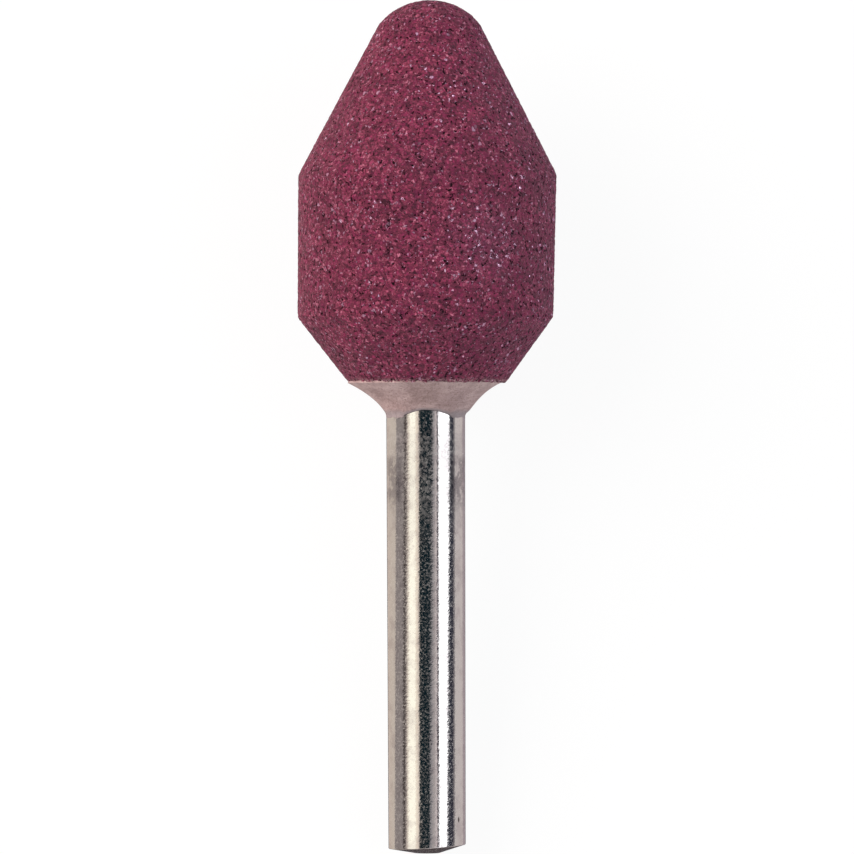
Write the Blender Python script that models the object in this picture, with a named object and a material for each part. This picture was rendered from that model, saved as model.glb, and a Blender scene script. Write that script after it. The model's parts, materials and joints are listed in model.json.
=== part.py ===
"""Mounted point: a vitrified abrasive head, cemented on a turned steel shank.

The point is modelled along its own axis, with the centre of the head's flat back face at zero, the nose
towards +Z and the front towards -Y. It is then laid down as it comes to rest on a table: on the back
edge of its belly and on the end of its shank, with the nose towards +Y. Units are metres.
"""

import math

import bmesh
import bpy
from mathutils import Matrix, Vector

# Abrasive head
BELLY_DIAMETER = 0.0200
BELLY_LENGTH = 0.0110
CONE_LENGTH = 0.0119
NOSE_BALL_RADIUS = 0.0051
NOSE_DIAMETER = 0.0077  # where the ball of the nose meets the cone
BACK_TAPER_LENGTH = 0.0050
BACK_FACE_DIAMETER = 0.0125
NOSE_FILLET = 0.0016
SHOULDER_FILLET = 0.0010
BELLY_EDGE_FILLET = 0.00025
BACK_EDGE_FILLET = 0.00020
BORE_END_SLOPE = 0.60  # rise of the bore's conical end per unit of radius
BORE_MOUTH_CHAMFER = 0.0003

# Steel shank
SHANK_DIAMETER = 0.0060
SHANK_LENGTH = 0.0367  # from the head's back face to the free end
END_CONE_LENGTH = 0.00047
END_FLAT_DIAMETER = 0.0014
SHANK_INSET = 0.0010  # how far the full diameter goes into the bore
EMBEDDED_LENGTH = 0.0150  # from the head's back face to the keyed end's tip
KEY_DIAMETER = 0.0048
KEY_RINGS = 9
RING_DEPTH = 0.00035
RINGS_START = 0.0020  # plain neck between the shoulder and the first ring
KEY_TIP_CHAMFER = 0.0004
KEY_FLUTES = 12
FLUTE_DEPTH = 0.00022

# Cement
SLEEVE_WALL = 0.0004  # at the bore's mouth, round the full diameter
CEMENT_FLOOR = 0.0004  # between the keyed end and the bore's conical end
COLLAR_HEIGHT = 0.0025
COLLAR_MARGIN = 0.00015  # ring of the back face that the cement leaves bare
COLLAR_HOLLOW = 0.00027  # how deep the flare's curve sags below a straight cone
LIP_WALL = 0.00012
LIP_WAVE = 0.00025  # how much further the cement runs down at the sides than at the front
LIP_RIPPLE = 0.00006

# Between pieces that are bonded in the real point
CLEARANCE = 0.0003

SEGMENTS = 48
ARC_STEPS = 5
NOSE_STEPS = 7
FLARE_STEPS = 6
SHARP_ANGLE = math.radians(24)
MERGE_DISTANCE = 1e-7

# Derived sizes
belly_radius = BELLY_DIAMETER / 2
shank_radius = SHANK_DIAMETER / 2
key_radius = KEY_DIAMETER / 2
back_radius = BACK_FACE_DIAMETER / 2
nose_edge_radius = NOSE_DIAMETER / 2
nose_height = NOSE_BALL_RADIUS - math.sqrt(NOSE_BALL_RADIUS**2 - nose_edge_radius**2)
belly_end = BACK_TAPER_LENGTH + BELLY_LENGTH
cone_end = belly_end + CONE_LENGTH
head_length = cone_end + nose_height
sleeve_inner_radius = shank_radius + CLEARANCE
sleeve_outer_radius = sleeve_inner_radius + SLEEVE_WALL
bore_radius = sleeve_outer_radius + CLEARANCE
pocket_radius = key_radius + CLEARANCE
pocket_depth = EMBEDDED_LENGTH + CLEARANCE
bore_depth = pocket_depth + CEMENT_FLOOR + CLEARANCE
flare_radius = back_radius - COLLAR_MARGIN
lip_radius = sleeve_inner_radius + LIP_WALL


def clear_scene():
    """Removes the objects that a new file starts with."""
    for item in list(bpy.data.objects):
        bpy.data.objects.remove(item, do_unlink=True)


def make_material(name, colour, roughness, metallic=0.0):
    """A plain Principled material."""
    material = bpy.data.materials.new(name)
    material.use_nodes = True
    shader = material.node_tree.nodes["Principled BSDF"]
    shader.inputs["Base Color"].default_value = (*colour, 1.0)
    shader.inputs["Roughness"].default_value = roughness
    shader.inputs["Metallic"].default_value = metallic
    return material


def swing(centre, start, end, steps):
    """Points on the shorter arc about a centre, from start to end, in the (radius, height) plane."""
    first, last = Vector(start) - centre, Vector(end) - centre
    angle = math.atan2(first.x * last.y - first.y * last.x, first.dot(last))
    return [tuple(centre + Matrix.Rotation(angle * step / steps, 2) @ first) for step in range(steps + 1)]


def filleted(corner, before, after, radius):
    """The arc that rounds a corner of an outline, between the points before and after it."""
    corner, before, after = Vector(corner), Vector(before), Vector(after)
    to_before = (before - corner).normalized()
    to_after = (after - corner).normalized()
    half_angle = to_before.angle(to_after) / 2
    room = min((before - corner).length, (after - corner).length) / 2
    setback = min(radius / math.tan(half_angle), room)
    centre = corner + (to_before + to_after).normalized() * setback / math.cos(half_angle)
    return swing(centre, corner + to_before * setback, corner + to_after * setback, ARC_STEPS)


def flare(start, end, hollow):
    """An arc from start down to end that is hollow by this much at its middle, on the side away from the axis."""
    start, end = Vector(start), Vector(end)
    chord = end - start
    radius = (chord.length**2 / 4 + hollow**2) / (2 * hollow)
    outwards = Vector((-chord.y, chord.x)).normalized()
    centre = (start + end) / 2 + outwards * (radius - hollow)
    return swing(centre, start, end, FLARE_STEPS)


def turned(name, outline, material):
    """A solid turned round the axis from an outline of (radius, height) points that starts and ends on it.

    A flat of the turned shape, not a corner, faces each of the four sides, so that the point lies on a flat.
    """
    mesh = bpy.data.meshes.new(name)
    bm = bmesh.new()
    verts = [bm.verts.new((radius, 0, height)) for radius, height in outline]
    edges = [bm.edges.new(pair) for pair in zip(verts, verts[1:])]
    half_step = Matrix.Rotation(math.pi / SEGMENTS, 3, "Z")
    bmesh.ops.rotate(bm, verts=verts, cent=(0, 0, 0), matrix=half_step)
    bmesh.ops.spin(
        bm,
        geom=verts + edges,
        cent=(0, 0, 0),
        axis=(0, 0, 1),
        angle=math.tau,
        steps=SEGMENTS,
        use_merge=True,
    )
    bmesh.ops.remove_doubles(bm, verts=bm.verts, dist=MERGE_DISTANCE)
    bmesh.ops.recalc_face_normals(bm, faces=bm.faces)
    bm.to_mesh(mesh)
    bm.free()
    mesh.shade_smooth()
    mesh.set_sharp_from_angle(angle=SHARP_ANGLE)
    mesh.materials.append(material)
    piece = bpy.data.objects.new(name, mesh)
    bpy.context.collection.objects.link(piece)
    return piece


def from_front(point):
    """The angle of a point round the axis, zero at the front and positive towards +X."""
    return math.atan2(point.x, -point.y)


def make_head(material):
    """The abrasive stone with its blind bore."""
    nose_centre = Vector((0.0, head_length - NOSE_BALL_RADIUS))
    nose_edge = (nose_edge_radius, cone_end)
    shoulder = (belly_radius, belly_end)
    belly_edge = (belly_radius, BACK_TAPER_LENGTH)
    back_edge = (back_radius, 0.0)
    mouth = (bore_radius + BORE_MOUTH_CHAMFER, 0.0)

    outline = swing(nose_centre, (0.0, head_length), nose_edge, NOSE_STEPS)[:-1]
    outline += filleted(nose_edge, outline[-1], shoulder, NOSE_FILLET)
    outline += filleted(shoulder, nose_edge, belly_edge, SHOULDER_FILLET)
    outline += filleted(belly_edge, shoulder, back_edge, BELLY_EDGE_FILLET)
    outline += filleted(back_edge, belly_edge, mouth, BACK_EDGE_FILLET)
    outline += [
        mouth,
        (bore_radius, BORE_MOUTH_CHAMFER),
        (bore_radius, bore_depth),
        (0.0, bore_depth + bore_radius * BORE_END_SLOPE),
    ]
    return turned("abrasive_head", outline, material)


def key_outline():
    """The embedded end of the shank, from its shoulder to its tip: a plain neck, rings and a chamfer."""
    rings_end = EMBEDDED_LENGTH - KEY_TIP_CHAMFER
    neck_end = SHANK_INSET + RINGS_START
    pitch = (rings_end - neck_end) / KEY_RINGS
    root_radius = key_radius - RING_DEPTH
    outline = [(shank_radius, SHANK_INSET), (root_radius, SHANK_INSET), (root_radius, neck_end)]
    for ring in range(KEY_RINGS):
        start = neck_end + ring * pitch
        outline += [(key_radius, start + pitch / 2), (root_radius, start + pitch)]
    outline += [(root_radius - KEY_TIP_CHAMFER, EMBEDDED_LENGTH), (0.0, EMBEDDED_LENGTH)]
    return outline


def cut_flutes(piece):
    """Presses straight flutes into the rings of the embedded end."""
    lowest = SHANK_INSET + RINGS_START
    for vertex in piece.data.vertices:
        radius = math.hypot(vertex.co.x, vertex.co.y)
        if vertex.co.z <= lowest or radius <= key_radius - RING_DEPTH / 2:
            continue
        depth = FLUTE_DEPTH * (1 - math.cos(KEY_FLUTES * from_front(vertex.co))) / 2
        shrink = (radius - depth) / radius
        vertex.co.x *= shrink
        vertex.co.y *= shrink


def make_shank(material):
    """The steel shank, with the shallow cone of its free end and its keyed end inside the head."""
    outline = [
        (0.0, -SHANK_LENGTH),
        (END_FLAT_DIAMETER / 2, -SHANK_LENGTH),
        (shank_radius, END_CONE_LENGTH - SHANK_LENGTH),
    ]
    piece = turned("steel_shank", outline + key_outline(), material)
    cut_flutes(piece)
    return piece


def lip_drop(angle):
    """How much further than its mean the cement runs down the shank, at an angle from the front."""
    return -LIP_WAVE * math.cos(2 * angle) + LIP_RIPPLE * math.sin(3 * angle)


def run_down(piece):
    """Gives the collar its uneven lower edge, by stretching it along the shank."""
    for vertex in piece.data.vertices:
        depth = -CLEARANCE - vertex.co.z
        if depth > 0:
            share = depth / (COLLAR_HEIGHT - CLEARANCE)
            vertex.co.z -= share * lip_drop(from_front(vertex.co))


def make_cement(material):
    """The cement: a blind sleeve in the bore and the flared collar under the head."""
    end_gap = CLEARANCE * math.sqrt(1 + BORE_END_SLOPE**2)
    apex = bore_depth + bore_radius * BORE_END_SLOPE - end_gap
    outline = [
        (0.0, apex),
        (sleeve_outer_radius, apex - sleeve_outer_radius * BORE_END_SLOPE),
        (sleeve_outer_radius, -CLEARANCE),
    ]
    outline += flare((flare_radius, -CLEARANCE), (lip_radius, -COLLAR_HEIGHT), COLLAR_HOLLOW)
    outline += [
        (sleeve_inner_radius, -COLLAR_HEIGHT),
        (sleeve_inner_radius, SHANK_INSET + CLEARANCE),
        (pocket_radius, SHANK_INSET + CLEARANCE),
        (pocket_radius, pocket_depth),
        (0.0, pocket_depth),
    ]
    piece = turned("bonding_cement", outline, material)
    run_down(piece)
    return piece


def world_box(pieces):
    """The lowest and highest corners of the pieces in the world."""
    corners = [piece.matrix_world @ vertex.co for piece in pieces for vertex in piece.data.vertices]
    low = Vector(min(corner[axis] for corner in corners) for axis in range(3))
    high = Vector(max(corner[axis] for corner in corners) for axis in range(3))
    return low, high


def resting_tilt(head):
    """The angle between the axis and the floor, when the floor touches the shank's end edge and the head."""
    to_flat = math.cos(math.pi / SEGMENTS)
    end_edge = END_CONE_LENGTH - SHANK_LENGTH
    slopes = []
    for vertex in head.data.vertices:
        radius = math.hypot(vertex.co.x, vertex.co.y)
        slopes.append((radius - shank_radius) * to_flat / (vertex.co.z - end_edge))
    return math.atan(max(slopes))


def lay_down(head, cement, shank):
    """Lays the point on its belly and its shank's end, with the bottom centre of its box at the origin."""
    pieces = [head, cement, shank]
    carrier = bpy.data.objects.new("point_axis", None)
    bpy.context.collection.objects.link(carrier)
    for piece in pieces:
        piece.parent = carrier
    carrier.rotation_euler = (resting_tilt(head) - math.pi / 2, 0, 0)
    bpy.context.view_layer.update()
    low, high = world_box(pieces)
    carrier.location = (-(low.x + high.x) / 2, -(low.y + high.y) / 2, -low.z)
    bpy.context.view_layer.update()


def main():
    """Builds the three pieces and lays the point down."""
    clear_scene()
    stone = make_material("stone", (0.190, 0.042, 0.070), 0.85)
    cement = make_material("cement", (0.350, 0.240, 0.220), 0.90)
    steel = make_material("steel", (0.560, 0.540, 0.520), 0.25, metallic=1.0)
    lay_down(make_head(stone), make_cement(cement), make_shank(steel))


main()
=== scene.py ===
"""The looks of a mounted point: a vitrified abrasive stone, cemented on a ground steel shank.

Each piece is turned round the point's own axis, which stands upright at zero with the centre of the
stone's back face at the origin and the front towards -Y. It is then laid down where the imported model
has it. Sizes are in metres, and places on a finish are in millimetres on the upright piece.
"""

import json
import logging
import math
from collections.abc import Callable, Sequence
from dataclasses import dataclass
from enum import Enum

import bpy
from mathutils import Matrix, Vector


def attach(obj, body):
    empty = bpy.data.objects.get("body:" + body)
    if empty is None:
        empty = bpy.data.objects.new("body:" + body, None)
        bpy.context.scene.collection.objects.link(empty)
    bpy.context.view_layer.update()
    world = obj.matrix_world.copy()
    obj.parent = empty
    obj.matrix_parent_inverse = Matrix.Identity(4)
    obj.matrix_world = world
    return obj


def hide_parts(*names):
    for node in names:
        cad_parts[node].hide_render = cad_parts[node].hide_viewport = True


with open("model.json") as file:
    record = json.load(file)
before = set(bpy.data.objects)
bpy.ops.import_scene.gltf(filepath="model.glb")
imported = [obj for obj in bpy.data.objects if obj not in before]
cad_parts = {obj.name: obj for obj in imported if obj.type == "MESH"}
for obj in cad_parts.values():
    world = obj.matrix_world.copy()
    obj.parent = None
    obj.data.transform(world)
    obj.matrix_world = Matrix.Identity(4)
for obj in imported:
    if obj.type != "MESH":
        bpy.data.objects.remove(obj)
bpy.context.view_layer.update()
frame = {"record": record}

log = logging.getLogger("mounted_point")

Socket = bpy.types.NodeSocket
Colour = tuple[float, float, float]
Place = tuple[float, float, float]
Span = tuple[float, float]
Stops = Sequence[tuple[float, Colour]]
Value = Socket | float | Sequence[float]
Outline = list[Vector]
Waves = tuple[tuple[float, float, float], ...]  # the size, count and start of each wave round the axis

MM = 0.001
MERGE = 1e-6  # points closer than this are one
BODY = "root"
LIP_MASK = "lip_shadow"


@dataclass(frozen=True)
class Lie:
    """How the point lies on the table: the place of its back face and the tilt of its axis."""

    shank_length: float = 0.0367
    mount: str = "shank_end"

    def matrix(self) -> Matrix:
        """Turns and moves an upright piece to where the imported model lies.

        Returns:
            The matrix from the point's own axis to the table.
        """
        mounts = frame["record"]["mounts"]
        end = next(row for row in mounts if row["name"] == self.mount)
        nose = -Vector(end["axis"]).normalized()
        tilt = math.atan2(nose.z, nose.y)
        back_face = Vector(end["pos_m"]) + nose * self.shank_length
        return Matrix.Translation(back_face) @ Matrix.Rotation(tilt - math.pi / 2, 4, "X")

    def nose(self) -> Vector:
        """The direction of the nose."""
        return self.matrix().to_3x3() @ Vector((0, 0, 1))

    def front(self) -> Vector:
        """The direction from the axis towards the front."""
        return self.matrix().to_3x3() @ Vector((0, -1, 0))


LIE = Lie()


def select_only(piece: bpy.types.Object) -> None:
    """Selects one piece and nothing else.

    Args:
        piece: The piece.
    """
    bpy.ops.object.select_all(action="DESELECT")
    piece.select_set(True)
    bpy.context.view_layer.objects.active = piece


class Turning:
    """Outlines of turned solids, as points of (radius, height), and the steps that turn them."""

    @staticmethod
    def arc(centre: Vector, start: Vector, end: Vector, step: float) -> Outline:
        """Points on the shorter arc about a centre.

        Args:
            centre: The centre of the arc.
            start: Its first point.
            end: The direction of its last point.
            step: The longest distance between points.

        Returns:
            The points, both ends included.
        """
        first = start - centre
        last = end - centre
        angle = math.atan2(first.x * last.y - first.y * last.x, first.dot(last))
        count = max(2, math.ceil(abs(angle) * first.length / step))
        return [centre + Matrix.Rotation(angle * n / count, 2) @ first for n in range(count + 1)]

    @staticmethod
    def rounded(before: Vector, corner: Vector, after: Vector, radius: float, step: float) -> Outline:
        """The arc that rounds a corner.

        Args:
            before: The point of the outline before the corner.
            corner: The corner.
            after: The point after it.
            radius: The radius of the rounding.
            step: The longest distance between points.

        Returns:
            The points of the arc.
        """
        back = (before - corner).normalized()
        ahead = (after - corner).normalized()
        half = back.angle(ahead) / 2
        setback = min(radius / math.tan(half), (before - corner).length / 2, (after - corner).length / 2)
        centre = corner + (back + ahead).normalized() * setback / math.cos(half)
        return Turning.arc(centre, corner + back * setback, corner + ahead * setback, step)

    @staticmethod
    def spaced(outline: Outline, step: float) -> Outline:
        """Adds points to an outline, so that none lie further apart than a step.

        Args:
            outline: The outline.
            step: The longest distance between points.

        Returns:
            The outline with its added points.
        """
        points = [outline[0]]
        for start, end in zip(outline, outline[1:]):
            count = max(1, math.ceil((end - start).length / step - 0.01))
            points += [start.lerp(end, n / count) for n in range(1, count + 1)]
        return points

    @staticmethod
    def solid(name: str, outline: Outline, segments: int) -> bpy.types.Object:
        """Traces an outline by extruding a point, and turns it round the upright axis.

        Args:
            name: The piece's name.
            outline: Points of (radius, height) that start and end on the axis.
            segments: The number of segments round the axis.

        Returns:
            The piece, upright at zero.
        """
        bpy.ops.object.select_all(action="DESELECT")
        start = outline[0]
        bpy.ops.mesh.primitive_plane_add(size=MM, location=(start.x, 0, start.y))
        piece = bpy.context.object
        piece.name = name
        piece.data.name = name
        bpy.ops.object.mode_set(mode="EDIT")
        bpy.ops.mesh.select_all(action="SELECT")
        bpy.ops.mesh.merge(type="CENTER")
        for here, there in zip(outline, outline[1:]):
            move = (there.x - here.x, 0, there.y - here.y)
            bpy.ops.mesh.extrude_vertices_move(TRANSFORM_OT_translate={"value": move})
        bpy.ops.object.mode_set(mode="OBJECT")
        bpy.ops.object.transform_apply(location=True, rotation=True, scale=True)
        turn = piece.modifiers.new("turn", "SCREW")
        turn.axis = "Z"
        turn.angle = math.tau
        turn.steps = segments
        turn.render_steps = segments
        turn.use_merge_vertices = True
        turn.merge_threshold = MERGE
        bpy.ops.object.modifier_apply(modifier=turn.name)
        bpy.ops.object.mode_set(mode="EDIT")
        bpy.ops.mesh.select_all(action="SELECT")
        bpy.ops.mesh.remove_doubles(threshold=MERGE)
        bpy.ops.mesh.normals_make_consistent(inside=False)
        bpy.ops.object.mode_set(mode="OBJECT")
        return piece

    @staticmethod
    def moved(piece: bpy.types.Object, move: Callable[[Vector], Vector]) -> None:
        """Moves each vertex of an upright piece.

        Args:
            piece: The piece.
            move: Gives the new place of a vertex for its old one.
        """
        for vertex in piece.data.vertices:
            vertex.co = move(vertex.co.copy())
        piece.data.update()

    @staticmethod
    def laid_down(piece: bpy.types.Object) -> None:
        """Lays an upright piece on the table, and applies its place.

        Args:
            piece: The piece.
        """
        select_only(piece)
        piece.matrix_world = LIE.matrix()
        bpy.ops.object.transform_apply(location=True, rotation=True, scale=True)


class Wiring:
    """Places and joins the nodes of one tree."""

    def __init__(self, tree: bpy.types.NodeTree) -> None:
        """Starts on a tree of nodes."""
        self.tree = tree

    def node(
        self, kind: str, inputs: dict[str | int, Value] | None = None, **settings: object
    ) -> bpy.types.Node:
        """Places a node.

        Args:
            kind: Blender's name for the kind of node.
            inputs: A value, or the socket that feeds it, for each input that isn't left as it is.
            settings: The node's own settings.

        Returns:
            The node.
        """
        placed = self.tree.nodes.new(kind)
        for name, value in settings.items():
            setattr(placed, name, value)
        for name, value in (inputs or {}).items():
            self.feed(placed.inputs[name], value)
        return placed

    def feed(self, socket: Socket, value: Value) -> None:
        """Links a socket, or sets its value.

        Args:
            socket: The socket.
            value: A value, or the socket that feeds it.
        """
        if isinstance(value, bpy.types.NodeSocket):
            self.tree.links.new(value, socket)
        elif socket.type == "RGBA" and len(value) == 3:
            socket.default_value = (*value, 1.0)
        else:
            socket.default_value = value

    def number(self, operation: str, first: Value, second: Value = 0.0, third: Value = 0.0) -> Socket:
        """A number worked out from up to three others, by Blender's name for the operation."""
        return self.node("ShaderNodeMath", {0: first, 1: second, 2: third}, operation=operation).outputs[0]

    def plus(self, first: Value, second: Value) -> Socket:
        """The sum of two numbers."""
        return self.number("ADD", first, second)

    def times(self, first: Value, second: Value) -> Socket:
        """The product of two numbers."""
        return self.number("MULTIPLY", first, second)

    def times_plus(self, value: Value, scale: Value, base: Value) -> Socket:
        """A number times a scale, plus a base."""
        return self.number("MULTIPLY_ADD", value, scale, base)

    def most(self, first: Value, second: Value) -> Socket:
        """The larger of two numbers."""
        return self.number("MAXIMUM", first, second)

    def rest_of(self, share: Value) -> Socket:
        """One minus a share."""
        return self.number("SUBTRACT", 1.0, share)

    def vector(self, operation: str, first: Value, second: Value = (0, 0, 0)) -> bpy.types.Node:
        """A vector or number worked out from two vectors, by Blender's name for the operation."""
        return self.node("ShaderNodeVectorMath", {0: first, 1: second}, operation=operation)

    def stretched(self, vector: Value, scales: Value) -> Socket:
        """A vector times a number for each of its parts."""
        return self.vector("MULTIPLY", vector, scales).outputs[0]

    def scaled(self, vector: Value, scale: Value) -> Socket:
        """A vector times a number."""
        return self.node("ShaderNodeVectorMath", {0: vector, "Scale": scale}, operation="SCALE").outputs[0]

    def distance(self, first: Value, second: Value) -> Socket:
        """The distance between two places."""
        return self.vector("DISTANCE", first, second).outputs["Value"]

    def parts(self, vector: Value) -> tuple[Socket, Socket, Socket]:
        """The three parts of a vector."""
        outputs = self.node("ShaderNodeSeparateXYZ", {0: vector}).outputs
        return outputs[0], outputs[1], outputs[2]

    def mix(self, share: Value, first: Value, second: Value, mode: str = "MIX") -> Socket:
        """Two colours, mixed or blended by a share."""
        inputs = {0: share, 6: first, 7: second}
        return self.node("ShaderNodeMix", inputs, data_type="RGBA", blend_type=mode).outputs[2]

    def span(self, value: Value, start: Value, end: Value, low: Value = 0.0, high: Value = 1.0) -> Socket:
        """Maps a number smoothly, to the low value up to the start and the high value from the end on."""
        inputs = {"Value": value, "From Min": start, "From Max": end, "To Min": low, "To Max": high}
        return self.node("ShaderNodeMapRange", inputs, interpolation_type="SMOOTHSTEP").outputs["Result"]

    def fall(self, value: Value, start: Value, end: Value) -> Socket:
        """Goes smoothly from one at the start to zero at the end."""
        return self.span(value, start, end, 1.0, 0.0)

    def noise(
        self, place: Value, scale: Value, detail: float = 2.0, roughness: float = 0.5
    ) -> bpy.types.Node:
        """Soft noise, in lumps of one unit over the scale."""
        inputs = {"Vector": place, "Scale": scale, "Detail": detail, "Roughness": roughness}
        return self.node("ShaderNodeTexNoise", inputs)

    def lumps(self, place: Value, scales: Value, detail: float = 2.0, roughness: float = 0.5) -> Socket:
        """Soft noise with a scale of its own for each axis."""
        return self.noise(self.stretched(place, scales), 1.0, detail, roughness).outputs[0]

    def cells(self, place: Value, scale: Value, feature: str = "F1") -> bpy.types.Node:
        """Cells of one unit over the scale."""
        return self.node("ShaderNodeTexVoronoi", {"Vector": place, "Scale": scale}, feature=feature)

    def ramp(self, value: Value, stops: Stops) -> Socket:
        """Maps a number to colours.

        Args:
            value: The number, from zero to one.
            stops: The colours and where each stands.

        Returns:
            The colour.
        """
        placed = self.node("ShaderNodeValToRGB", {0: value})
        elements = placed.color_ramp.elements
        while len(elements) < len(stops):
            elements.new(0.5)
        for element, (place, colour) in zip(elements, stops):
            element.position = place
            element.color = (*colour, 1.0)
        return placed.outputs[0]

    def group(self, tree: bpy.types.ShaderNodeTree, inputs: dict[str, Value]) -> dict[str, Socket]:
        """Places a node group.

        Args:
            tree: The group.
            inputs: A value, or the socket that feeds it, for each named input.

        Returns:
            The group's outputs by name.
        """
        placed = self.node("ShaderNodeGroup", node_tree=tree)
        for label, value in inputs.items():
            self.feed(placed.inputs[label], value)
        return {socket.name: socket for socket in placed.outputs}

    def bump(self, shader: bpy.types.Node, height: Socket, strength: float) -> None:
        """Gives a shader a relief by its height in millimetres."""
        inputs = {"Height": height, "Strength": strength, "Distance": MM}
        self.feed(shader.inputs["Normal"], self.node("ShaderNodeBump", inputs).outputs[0])


class Effects:
    """Node groups that more than one material uses."""

    made: dict[str, bpy.types.ShaderNodeTree] = {}
    GRIT_OUTPUTS: tuple[str, ...] = ("Tone", "Tint", "Face", "Facet", "Pit", "Crack", "Height")

    @classmethod
    def group(
        cls,
        name: str,
        inputs: dict[str, float | None],
        outputs: Sequence[str],
        fill: Callable[..., dict[str, Socket]],
    ) -> bpy.types.ShaderNodeTree:
        """Makes a node group, the first time that it is asked for.

        Args:
            name: The group's name.
            inputs: The inputs' names and values, with no value for a place.
            outputs: The names of its outputs, which are numbers.
            fill: Wires the group's nodes, and gives the socket for each output.

        Returns:
            The group.
        """
        if name in cls.made:
            return cls.made[name]
        tree = bpy.data.node_groups.new(name, "ShaderNodeTree")
        for label, value in inputs.items():
            kind = "NodeSocketVector" if value is None else "NodeSocketFloat"
            socket = tree.interface.new_socket(name=label, in_out="INPUT", socket_type=kind)
            if value is not None:
                socket.default_value = value
        for label in outputs:
            tree.interface.new_socket(name=label, in_out="OUTPUT", socket_type="NodeSocketFloat")
        wiring = Wiring(tree)
        entry = wiring.node("NodeGroupInput")
        made = fill(wiring, *(entry.outputs[label] for label in inputs))
        wiring.node("NodeGroupOutput", made)
        cls.made[name] = tree
        return tree

    @staticmethod
    def fill_grit(wiring: Wiring, place: Socket, fineness: Socket, pores: Socket) -> dict[str, Socket]:
        """Wires angular grains, each with a facet of its own slope, and the pores between them.

        Args:
            wiring: The group's wiring.
            place: Where a point is, in millimetres.
            fineness: Grains per millimetre.
            pores: How much noise it takes to make a pore.

        Returns:
            The socket for each output.
        """
        lump = wiring.noise(place, wiring.times(fineness, 0.9), detail=1.5)
        centred = wiring.vector("SUBTRACT", lump.outputs["Color"], (0.5, 0.5, 0.5)).outputs[0]
        bent = wiring.scaled(centred, wiring.number("DIVIDE", 1.5, fineness))
        warped = wiring.vector("ADD", place, bent).outputs[0]
        coarse = wiring.cells(warped, fineness)
        fine = wiring.cells(warped, wiring.times(fineness, 2.1))
        gap = wiring.cells(warped, fineness, "DISTANCE_TO_EDGE").outputs["Distance"]
        heights = []
        for grain in (coarse, fine):
            offset = wiring.vector("SUBTRACT", warped, grain.outputs["Position"]).outputs[0]
            slope = wiring.vector("SUBTRACT", grain.outputs["Color"], (0.5, 0.5, 0.5)).outputs[0]
            heights.append(wiring.vector("DOT_PRODUCT", offset, slope).outputs["Value"])
        big = wiring.parts(coarse.outputs["Color"])
        small = wiring.parts(fine.outputs["Color"])
        hollow = wiring.noise(place, wiring.times(fineness, 0.8), detail=2.5, roughness=0.6).outputs[0]
        return {
            "Tone": wiring.plus(wiring.times(big[0], 0.55), wiring.times(small[0], 0.45)),
            "Tint": big[1],
            "Face": big[2],
            "Facet": small[2],
            "Pit": wiring.span(hollow, pores, wiring.plus(pores, 0.07)),
            "Crack": wiring.fall(gap, 0.0, 0.10),
            "Height": wiring.times_plus(heights[1], 0.8, heights[0]),
        }

    @classmethod
    def grit(cls) -> bpy.types.ShaderNodeTree:
        """Grains and pores: the stone's, and the cement's finer ones."""
        inputs = {"Place": None, "Fineness": 4.0, "Pores": 0.6}
        return cls.group("grit", inputs, cls.GRIT_OUTPUTS, cls.fill_grit)


def new_material(name: str) -> tuple[bpy.types.Material, Wiring, bpy.types.Node, Socket]:
    """Starts a material.

    Args:
        name: The material's name.

    Returns:
        The material, its wiring, its shader, and the place of a point on the upright piece in millimetres.
    """
    material = bpy.data.materials.new(name)
    material.use_nodes = True
    wiring = Wiring(material.node_tree)
    shader = material.node_tree.nodes["Principled BSDF"]
    back = LIE.matrix().inverted()
    inputs = {
        "Vector": wiring.node("ShaderNodeTexCoord").outputs["Object"],
        "Location": tuple(back.translation / MM),
        "Rotation": tuple(back.to_euler()),
        "Scale": (1 / MM,) * 3,
    }
    place = wiring.node("ShaderNodeMapping", inputs).outputs[0]
    return material, wiring, shader, place


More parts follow.
